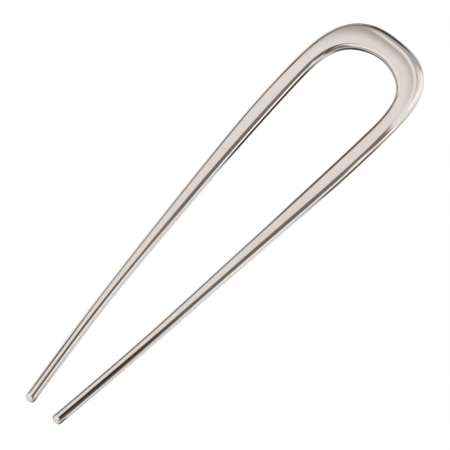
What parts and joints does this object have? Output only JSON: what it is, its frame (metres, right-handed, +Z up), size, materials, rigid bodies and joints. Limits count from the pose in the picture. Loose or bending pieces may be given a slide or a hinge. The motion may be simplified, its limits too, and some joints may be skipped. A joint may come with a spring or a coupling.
{
  "type": "hairpin",
  "caption": "One-piece polished metal U-shaped hairpin with a wide crown whose faces curve over to a thin outer edge, and gently arched tines that taper to round, domed tips.",
  "frame": {"origin": "on the surface that the pin lies on, under the middle of its outer box", "axes": "+Y along the pin from the tips to the crown, +X across the tines to the right as seen from above with the crown away from the viewer, +Z up, on the side towards which the pin arches"},
  "size_m": [0.0254, 0.108, 0.004],
  "materials": {
    "polished_metal": "mirror-polished silver-coloured plating, slightly warm"
  },
  "bodies": {
    "root": {"hairpin": "polished_metal"}
  },
  "joints": []
}
